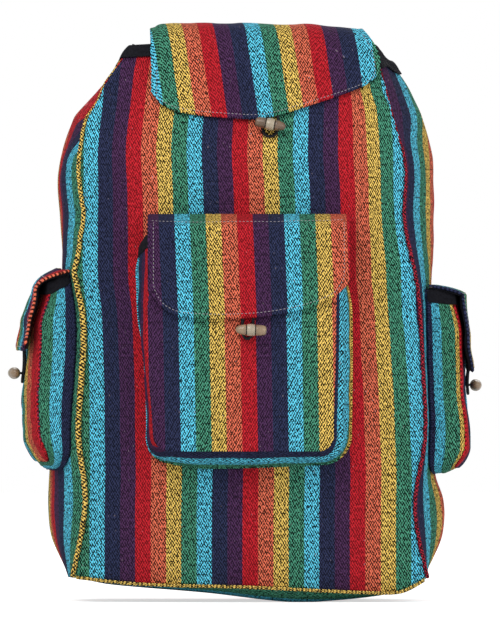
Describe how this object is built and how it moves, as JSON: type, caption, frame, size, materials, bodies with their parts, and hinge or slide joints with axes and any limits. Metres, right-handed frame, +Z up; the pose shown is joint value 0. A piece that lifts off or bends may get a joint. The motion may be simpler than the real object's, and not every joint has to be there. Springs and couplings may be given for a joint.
{
  "type": "woven backpack",
  "caption": "Striped woven cloth rucksack with a top flap, a front pocket and two side pockets, each closed by a flap, a loop and a toggle, and padded straps.",
  "frame": {"origin": "middle of the base, on the surface that the bag stands on", "axes": "+Z up, -Y out of the front pocket's face, +X to the right as the front is seen"},
  "size_m": [0.3697, 0.278, 0.4489],
  "materials": {
    "striped_cloth": "coarse woven cotton in red, orange, yellow, green, sky blue, navy and purple stripes",
    "black_cloth": "plain black cotton",
    "piping": "woven cotton over a cord",
    "cord": "black round cord",
    "webbing": "black ribbed webbing",
    "dark_wood": "turned, waxed",
    "pale_wood": "turned, waxed",
    "slider_plastic": "moulded"
  },
  "bodies": {
    "bag": {"front_panel": "striped_cloth", "back_panel": "striped_cloth", "left_side_panel": "striped_cloth", "right_side_panel": "striped_cloth", "base_panel": "striped_cloth", "main_lining": "black_cloth", "mouth_casing": "black_cloth", "left_front_welt": "piping", "right_front_welt": "piping", "base_front_welt": "piping", "top_flap": "striped_cloth", "top_flap_lining": "black_cloth", "top_flap_loop": "cord", "front_pocket_face": "striped_cloth", "front_pocket_gusset": "striped_cloth", "front_pocket_mouth_binding": "black_cloth", "front_pocket_flap": "striped_cloth", "front_pocket_flap_lining": "black_cloth", "front_pocket_loop": "cord", "left_pocket_face": "striped_cloth", "left_pocket_gusset": "striped_cloth", "left_pocket_mouth_binding": "black_cloth", "left_pocket_flap": "striped_cloth", "left_pocket_flap_lining": "black_cloth", "left_pocket_loop": "cord", "right_pocket_face": "striped_cloth", "right_pocket_gusset": "striped_cloth", "right_pocket_mouth_binding": "black_cloth", "right_pocket_flap": "striped_cloth", "right_pocket_flap_lining": "black_cloth", "right_pocket_loop": "cord", "strap_yoke": "striped_cloth", "haul_loop": "striped_cloth", "left_shoulder_strap": "striped_cloth", "left_strap_tab": "webbing", "left_strap_slider": "slider_plastic", "left_strap_webbing": "webbing", "right_shoulder_strap": "striped_cloth", "right_strap_tab": "webbing", "right_strap_slider": "slider_plastic", "right_strap_webbing": "webbing"},
    "top_toggle": {"top_flap_toggle": "dark_wood", "top_flap_toggle_tie": "cord"},
    "pocket_toggle": {"front_pocket_toggle": "pale_wood", "front_pocket_toggle_tie": "cord"},
    "left_toggle": {"left_pocket_toggle": "pale_wood", "left_pocket_toggle_tie": "cord"},
    "right_toggle": {"right_pocket_toggle": "pale_wood", "right_pocket_toggle_tie": "cord"}
  },
  "joints": [
    {"name": "top_toggle_swivel", "type": "hinge", "parent": "bag", "child": "top_toggle", "pos_m": [0.02017, -0.06701, 0.36695], "axis": [-0.0357, -0.9466, 0.3204], "range_deg": [-90, 90]},
    {"name": "pocket_toggle_swivel", "type": "hinge", "parent": "bag", "child": "pocket_toggle", "pos_m": [0.00465, -0.11192, 0.21099], "axis": [0.0032, -0.9997, -0.0244], "range_deg": [-90, 90]},
    {"name": "left_toggle_swivel", "type": "hinge", "parent": "bag", "child": "left_toggle", "pos_m": [-0.17068, 0.002, 0.177], "axis": [-0.9905, -0.1372, -0.0009], "range_deg": [-90, 90]},
    {"name": "right_toggle_swivel", "type": "hinge", "parent": "bag", "child": "right_toggle", "pos_m": [0.17051, 0.01001, 0.168], "axis": [0.9983, 0.0421, -0.0401], "range_deg": [-90, 90]}
  ]
}
